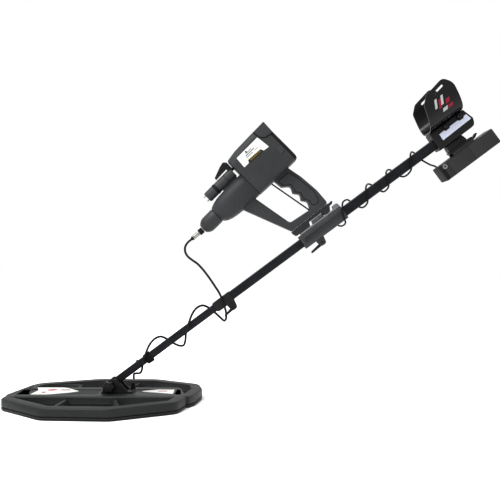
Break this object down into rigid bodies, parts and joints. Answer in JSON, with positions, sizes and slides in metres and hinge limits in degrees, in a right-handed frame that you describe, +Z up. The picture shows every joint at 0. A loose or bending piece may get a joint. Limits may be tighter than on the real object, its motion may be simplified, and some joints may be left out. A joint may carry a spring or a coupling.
{
  "type": "metal detector",
  "caption": "Hand-held metal detector with an open-frame search coil, telescopic shaft, pistol control unit on a D-handle, arm cuff and slide-on battery.",
  "frame": {"origin": "centre of the hand grip", "axes": "+Z up; +X from the coil towards the user's elbow; +Y to the side away from the viewer of the control unit's near side"},
  "size_m": [1.0696, 0.3449, 0.7001],
  "materials": {
    "moulded_abs": "fine spark texture, dark grey",
    "dark_abs": "fine texture, near black",
    "gloss_black": "polished black",
    "anodised_tube": "black anodised",
    "rubber": "matt black",
    "grey_metal": "bead blasted, mid grey",
    "steel": "nickel plated",
    "copper": "enamelled copper wire",
    "circuit_board": "green solder resist",
    "lens_glass": "clear, tinted",
    "lcd": "liquid crystal cell",
    "nylon": "moulded nylon",
    "cell_can": "wrapped cell cans"
  },
  "bodies": {
    "control_unit": {"console_casing": "moulded_abs", "head_bezel": "rubber", "screen_lens": "lens_glass", "lcd_panel": "lcd", "main_board": "circuit_board", "nose_cone": "moulded_abs", "socket_barrel": "moulded_abs", "handle_near_half": "moulded_abs", "handle_far_half": "moulded_abs", "grip_panel_near": "rubber", "grip_panel_far": "rubber", "guard_rod": "steel", "handle_foot": "dark_abs", "coil_plug": "steel", "cord_gland": "rubber", "coil_cable_lead": "rubber"},
    "main_shaft": {"shaft_sleeve": "moulded_abs", "upper_shaft_tube": "anodised_tube", "shaft_rail": "grey_metal", "cuff_base": "dark_abs", "arm_cuff": "gloss_black", "cuff_bolt_front": "nylon", "cuff_bolt_rear": "nylon", "battery_pedestal": "dark_abs", "battery_rail": "dark_abs", "power_cord": "rubber"},
    "middle_shaft": {"middle_shaft_tube": "anodised_tube", "lower_collar": "moulded_abs"},
    "lower_shaft": {"lower_shaft_tube": "anodised_tube", "shaft_yoke": "nylon", "cable_strap": "rubber", "coil_cable_wound": "rubber", "coil_cable_foot": "rubber"},
    "coil": {"coil_lower_shell": "moulded_abs", "coil_cover": "moulded_abs", "coil_skid_plate": "dark_abs", "transmit_winding": "copper", "receive_winding": "copper", "coil_bracket": "moulded_abs", "coil_gland": "rubber", "coil_pivot_bolt": "nylon", "friction_washer_near": "rubber", "friction_washer_far": "rubber"},
    "pivot_knob": {"pivot_knob": "nylon"},
    "snap_button": {"snap_button": "steel"},
    "lower_cam_lever": {"lower_cam_lever": "dark_abs"},
    "sleeve_cam_lever": {"sleeve_cam_lever": "dark_abs"},
    "battery_pack": {"battery_case": "moulded_abs", "battery_cap": "dark_abs", "charging_socket": "grey_metal", "battery_cells": "cell_can"},
    "battery_release_lever": {"battery_release_lever": "dark_abs"},
    "latch_lever": {"latch_lever": "dark_abs"},
    "clip_lever": {"clip_lever": "gloss_black"},
    "socket_ring": {"socket_ring": "dark_abs"},
    "plug_ring": {"plug_ring": "dark_abs"},
    "key_1": {"key_1": "rubber"},
    "key_2": {"key_2": "rubber"},
    "key_3": {"key_3": "rubber"},
    "key_4": {"key_4": "rubber"}
  },
  "joints": [
    {"name": "rail_slide", "type": "slide", "parent": "control_unit", "child": "main_shaft", "axis": [0.8028, 0, 0.5962], "range_m": [0, 0.06], "deforming": ["power_cord", "coil_cable_lead"]},
    {"name": "middle_shaft_slide", "type": "slide", "parent": "main_shaft", "child": "middle_shaft", "axis": [0.8028, 0, 0.5962], "range_m": [0, 0.15], "deforming": ["coil_cable_lead"]},
    {"name": "lower_shaft_slide", "type": "slide", "parent": "middle_shaft", "child": "lower_shaft", "axis": [0.8028, 0, 0.5962], "range_m": [0, 0.09], "deforming": ["coil_cable_wound"]},
    {"name": "coil_tilt", "type": "hinge", "parent": "lower_shaft", "child": "coil", "pos_m": [-0.41567, 0, -0.43825], "axis": [0, 1, 0], "range_deg": [-30, 60], "deforming": ["coil_cable_foot"]},
    {"name": "pivot_knob_turn", "type": "hinge", "parent": "coil", "child": "pivot_knob", "pos_m": [-0.41567, -0.025, -0.43825], "axis": [0, -1, 0], "continuous": true},
    {"name": "snap_button_press", "type": "slide", "parent": "lower_shaft", "child": "snap_button", "axis": [-0.5962, 0, 0.8028], "range_m": [-0.003, 0], "stiffness_N_per_m": 800},
    {"name": "lower_cam_lever_turn", "type": "hinge", "parent": "middle_shaft", "child": "lower_cam_lever", "pos_m": [-0.14622, 0, -0.26603], "axis": [0, -1, 0], "range_deg": [0, 100]},
    {"name": "sleeve_cam_lever_turn", "type": "hinge", "parent": "main_shaft", "child": "sleeve_cam_lever", "pos_m": [0.04881, 0, -0.12443], "axis": [0, -1, 0], "range_deg": [0, 100]},
    {"name": "latch_lever_lift", "type": "hinge", "parent": "control_unit", "child": "latch_lever", "pos_m": [0.05533, 0, -0.04934], "axis": [0, -1, 0], "range_deg": [0, 8], "stiffness_Nm_per_rad": 0.4},
    {"name": "battery_slide", "type": "slide", "parent": "main_shaft", "child": "battery_pack", "axis": [0.8028, 0, 0.5962], "range_m": [0, 0.025], "deforming": ["power_cord"]},
    {"name": "battery_release_press", "type": "hinge", "parent": "main_shaft", "child": "battery_release_lever", "pos_m": [0.37074, 0, 0.09621], "axis": [0, 1, 0], "range_deg": [0, 6], "stiffness_Nm_per_rad": 0.4},
    {"name": "clip_lever_open", "type": "hinge", "parent": "control_unit", "child": "clip_lever", "pos_m": [-0.16178, 0, 0.04376], "axis": [0, 1, 0], "range_deg": [0, 20], "stiffness_Nm_per_rad": 0.2},
    {"name": "socket_ring_turn", "type": "hinge", "parent": "control_unit", "child": "socket_ring", "pos_m": [-0.18356, 0, -0.0073], "axis": [-0.7071, 0, -0.7071], "range_deg": [0, 60]},
    {"name": "plug_ring_turn", "type": "hinge", "parent": "control_unit", "child": "plug_ring", "pos_m": [-0.21496, 0, -0.09823], "axis": [0.766, 0, 0.6428], "continuous": true},
    {"name": "key_1_press", "type": "slide", "parent": "control_unit", "child": "key_1", "axis": [-0.7071, 0, -0.7071], "range_m": [0, 0.0012], "stiffness_N_per_m": 600},
    {"name": "key_2_press", "type": "slide", "parent": "control_unit", "child": "key_2", "axis": [-0.7071, 0, -0.7071], "range_m": [0, 0.0012], "stiffness_N_per_m": 600},
    {"name": "key_3_press", "type": "slide", "parent": "control_unit", "child": "key_3", "axis": [-0.7071, 0, -0.7071], "range_m": [0, 0.0012], "stiffness_N_per_m": 600},
    {"name": "key_4_press", "type": "slide", "parent": "control_unit", "child": "key_4", "axis": [-0.7071, 0, -0.7071], "range_m": [0, 0.0012], "stiffness_N_per_m": 600}
  ]
}
